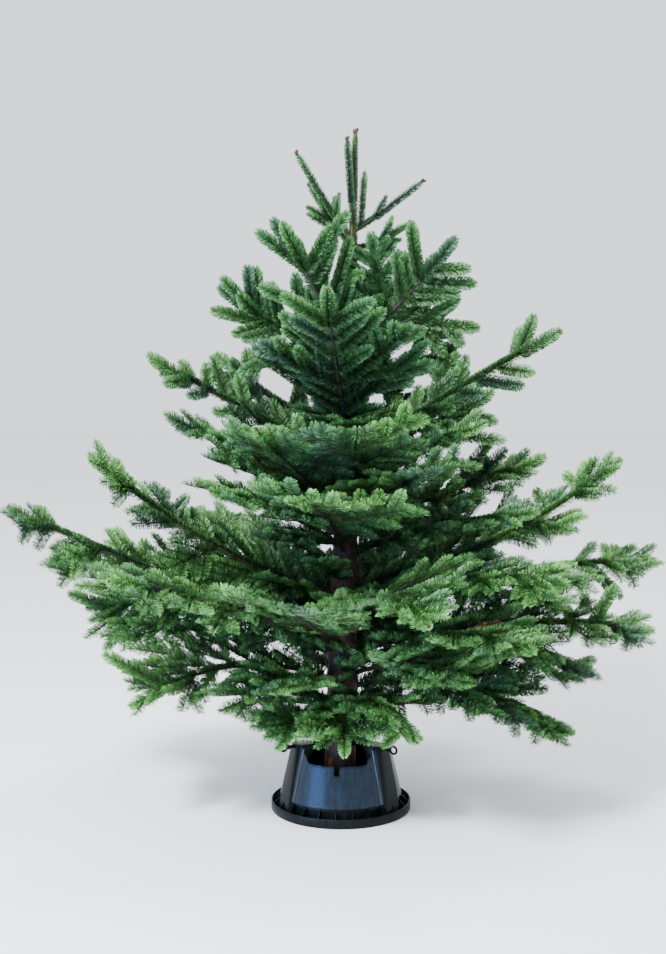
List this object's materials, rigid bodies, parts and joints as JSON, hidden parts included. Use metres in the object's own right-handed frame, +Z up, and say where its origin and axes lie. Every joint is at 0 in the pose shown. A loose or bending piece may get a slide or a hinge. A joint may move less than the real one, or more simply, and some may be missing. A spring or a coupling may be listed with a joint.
{
  "type": "cut christmas tree in a stand",
  "caption": "Undecorated cut fir with a straight tapering trunk, level boughs and an open pointed top, clamped in a conical water-holding plastic stand.",
  "frame": {"origin": "middle of the stand's flat underside, on the floor", "axes": "+Z up along the trunk, -Y towards the front panel of the stand, +X to the right seen from the front"},
  "size_m": [1.7289, 1.3836, 1.8223],
  "materials": {
    "stand_plastic": "satin moulded polypropylene, near black",
    "screw_plastic": "satin moulded plastic, black",
    "bark": "rough purple-brown bark",
    "needles": "waxy dark green needles"
  },
  "bodies": {
    "root": {"stand": "stand_plastic", "clamp_screw_1": "screw_plastic", "clamp_screw_2": "screw_plastic", "clamp_screw_3": "screw_plastic", "trunk": "bark", "bough_left_front": "bark", "bough_long_left": "bark", "bough_long_right": "bark", "mass_back_left": "needles", "mass_back_mid": "needles", "mass_back_right": "needles", "mass_back_upper": "needles", "mass_behind_right": "needles", "mass_crown_back": "needles", "mass_crown_back_right": "needles", "mass_crown_front": "needles", "mass_crown_front_left": "needles", "mass_crown_left": "needles", "mass_crown_right": "needles", "mass_front": "needles", "mass_front_left": "needles", "mass_front_left_upper": "needles", "mass_front_right": "needles", "mass_front_upper": "needles", "mass_high_left": "needles", "mass_high_left_back": "needles", "mass_high_right": "needles", "mass_leader_left": "needles", "mass_left_back": "needles", "mass_left_front": "needles", "mass_left_upper": "needles", "mass_long_left": "needles", "mass_long_right": "needles", "mass_low_back": "needles", "mass_low_back_left": "needles", "mass_low_back_right": "needles", "mass_low_front": "needles", "mass_low_front_left": "needles", "mass_low_front_right": "needles", "mass_mid_left": "needles", "mass_mid_right": "needles", "mass_near_left": "needles", "mass_near_right": "needles", "mass_near_right_upper": "needles", "mass_right_back": "needles", "mass_right_front_upper": "needles", "mass_right_lower": "needles", "mass_right_mid": "needles", "mass_rising_left": "needles", "mass_rising_right": "needles", "mass_side_right": "needles", "mass_skirt_front": "needles", "mass_skirt_front_right": "needles", "mass_skirt_left": "needles", "mass_skirt_right": "needles", "mass_top_left": "needles", "mass_top_left_back": "needles", "mass_top_right": "needles", "mass_top_right_front": "needles", "mass_upright_right": "needles"}
  },
  "joints": []
}
